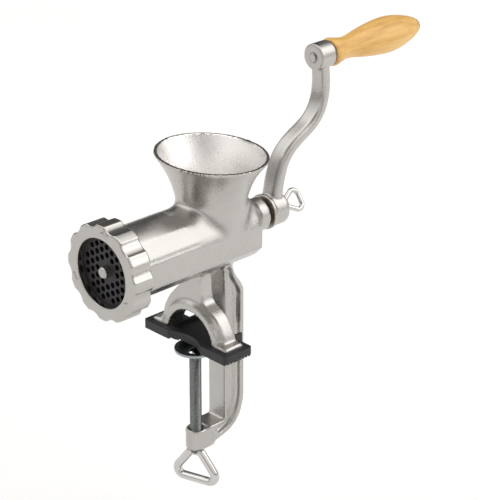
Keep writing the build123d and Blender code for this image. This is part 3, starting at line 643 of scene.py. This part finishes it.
swell = math_node(thread_tree, "SUBTRACT", given.outputs["Radius"], groove)
after_first = math_node(thread_tree, "GREATER_THAN", row, 0.5)
nearly_last = math_node(thread_tree, "SUBTRACT", last_row, 0.5)
open_row = math_node(thread_tree, "MULTIPLY", after_first,
                     math_node(thread_tree, "LESS_THAN", row, nearly_last))
swell = math_node(thread_tree, "MULTIPLY", swell, open_row)
rolled = thread_tree.nodes.new("ShaderNodeCombineXYZ")
for axis, turn in enumerate(("COSINE", "SINE")):
    offset = math_node(thread_tree, "MULTIPLY", swell, math_node(thread_tree, turn, angle))
    thread_tree.links.new(offset, rolled.inputs[axis])
thread_tree.links.new(math_node(thread_tree, "ADD", rise, given.outputs["Bottom"]), rolled.inputs[2])
roll = thread_tree.nodes.new("GeometryNodeSetPosition")
thread_tree.links.new(sheet.outputs["Mesh"], roll.inputs["Geometry"])
thread_tree.links.new(rolled.outputs[0], roll.inputs["Position"])
end_tree(thread_tree, roll.outputs[0], given, made)
print("tree:", thread_tree.name, len(thread_tree.nodes), "nodes")

# %% Clamp screw
# The M10 screw climbs 1.5 mm a turn. Its groove is cut shallower than a real M10 thread, because
# the full depth looks noisy at this size. Its neck inside the disc is hidden, so the bar ends there.
SCREW_PITCH = 0.0015
SCREW_DEPTH = 0.00055
ROWS_PER_TURN = 8
screw_low, screw_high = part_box("clamp_screw")
DISC_GAP = 0.0002
bar_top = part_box("pressure_disc")[0][2] - DISC_GAP
bar_length = bar_top - screw_low[2]
screw_piece = run_tree("clamp_thread", thread_tree, bpy.data.meshes.new("clamp_thread"), {
    "Radius": screw_high[0], "Depth": SCREW_DEPTH, "Pitch": SCREW_PITCH, "Bottom": screw_low[2],
    "Length": bar_length, "Plain end": 0.0, "Rows": int(bar_length / SCREW_PITCH * ROWS_PER_TURN),
    "Sides": 33, "Material": ZINC})
smooth_by_angle(screw_piece, 40.0)
finish_piece(screw_piece, ZINC, "screw", "clamp_screw")
print("clamp screw: {:.0f} turns in {:.1f} mm".format(bar_length / SCREW_PITCH, bar_length / MM))

# %% [markdown]
# The clamp's loop is bent from round wire. A closed line through four sharp corners is the
# bending plan. Fillet Curve rounds each corner by the bending radius and Curve to Mesh carries a
# circle along the line, which is what a wire bender does. The thumb screw's smaller loop keeps
# its CAD mesh.

# %% Tree: bent wire
wire_tree, given, made = new_tree("bent wire", (
    ("Wire radius", "NodeSocketFloat"), ("Bend", "NodeSocketFloat"), ("Tight bend", "NodeSocketFloat"),
    ("Material", "NodeSocketMaterial")))
line = wire_tree.nodes.new("GeometryNodeMeshToCurve")
wire_tree.links.new(given.outputs["Geometry"], line.inputs["Mesh"])
which = wire_tree.nodes.new("GeometryNodeInputNamedAttribute")
which.data_type = "FLOAT"
which.inputs["Name"].default_value = "wide"
bend = math_node(wire_tree, "MULTIPLY_ADD", which.outputs["Attribute"],
                 math_node(wire_tree, "SUBTRACT", given.outputs["Bend"], given.outputs["Tight bend"]),
                 given.outputs["Tight bend"])
rounded = wire_tree.nodes.new("GeometryNodeFilletCurve")
rounded.mode = "POLY"
rounded.inputs["Count"].default_value = 14
rounded.inputs["Limit Radius"].default_value = True
wire_tree.links.new(line.outputs["Curve"], rounded.inputs["Curve"])
wire_tree.links.new(bend, rounded.inputs["Radius"])
circle = wire_tree.nodes.new("GeometryNodeCurvePrimitiveCircle")
circle.inputs["Resolution"].default_value = 24
wire_tree.links.new(given.outputs["Wire radius"], circle.inputs["Radius"])
tube = wire_tree.nodes.new("GeometryNodeCurveToMesh")
wire_tree.links.new(rounded.outputs["Curve"], tube.inputs["Curve"])
wire_tree.links.new(circle.outputs["Curve"], tube.inputs["Profile Curve"])
end_tree(wire_tree, tube.outputs[0], given, made)
print("tree:", wire_tree.name, len(wire_tree.nodes), "nodes")


# %% Helper: bending plan
def bending_plan(name, corners):
    """A closed line through the corners; the two wide bends are marked 1 and the tight ones 0."""
    mesh = bpy.data.meshes.new(name)
    mesh.from_pydata([tuple(corner) for corner in corners], [(0, 1), (1, 2), (2, 3), (3, 0)], [])
    wide = mesh.attributes.new("wide", "FLOAT", "POINT")
    wide.data.foreach_set("value", [0.0, 1.0, 1.0, 0.0])
    return mesh


# %% Clamp loop
CLAMP_WIRE = 0.0036
CLAMP_BEND = 0.006
CLAMP_TIGHT = 0.0024
CLAMP_BAR_HALF = 0.0234
CLAMP_NECK_HALF = 0.0045
CLAMP_TURN = math.radians(17.0)
loop_low, loop_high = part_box("clamp_loop")
bar_z = loop_low[2] + CLAMP_WIRE
neck_z = loop_high[2] - CLAMP_WIRE
plan = [(half * math.cos(CLAMP_TURN), half * math.sin(CLAMP_TURN), z)
        for half, z in ((CLAMP_NECK_HALF, neck_z), (CLAMP_BAR_HALF, bar_z),
                        (-CLAMP_BAR_HALF, bar_z), (-CLAMP_NECK_HALF, neck_z))]
loop_piece = run_tree("clamp_wire", wire_tree, bending_plan("clamp_wire", plan), {
    "Wire radius": CLAMP_WIRE, "Bend": CLAMP_BEND, "Tight bend": CLAMP_TIGHT, "Material": WIRE})
smooth_by_angle(loop_piece, 50.0)
finish_piece(loop_piece, WIRE, "screw", "clamp_loop")
print("clamp loop box", [[round(v / MM, 1) for v in c] for c in (loop_low, loop_high)])
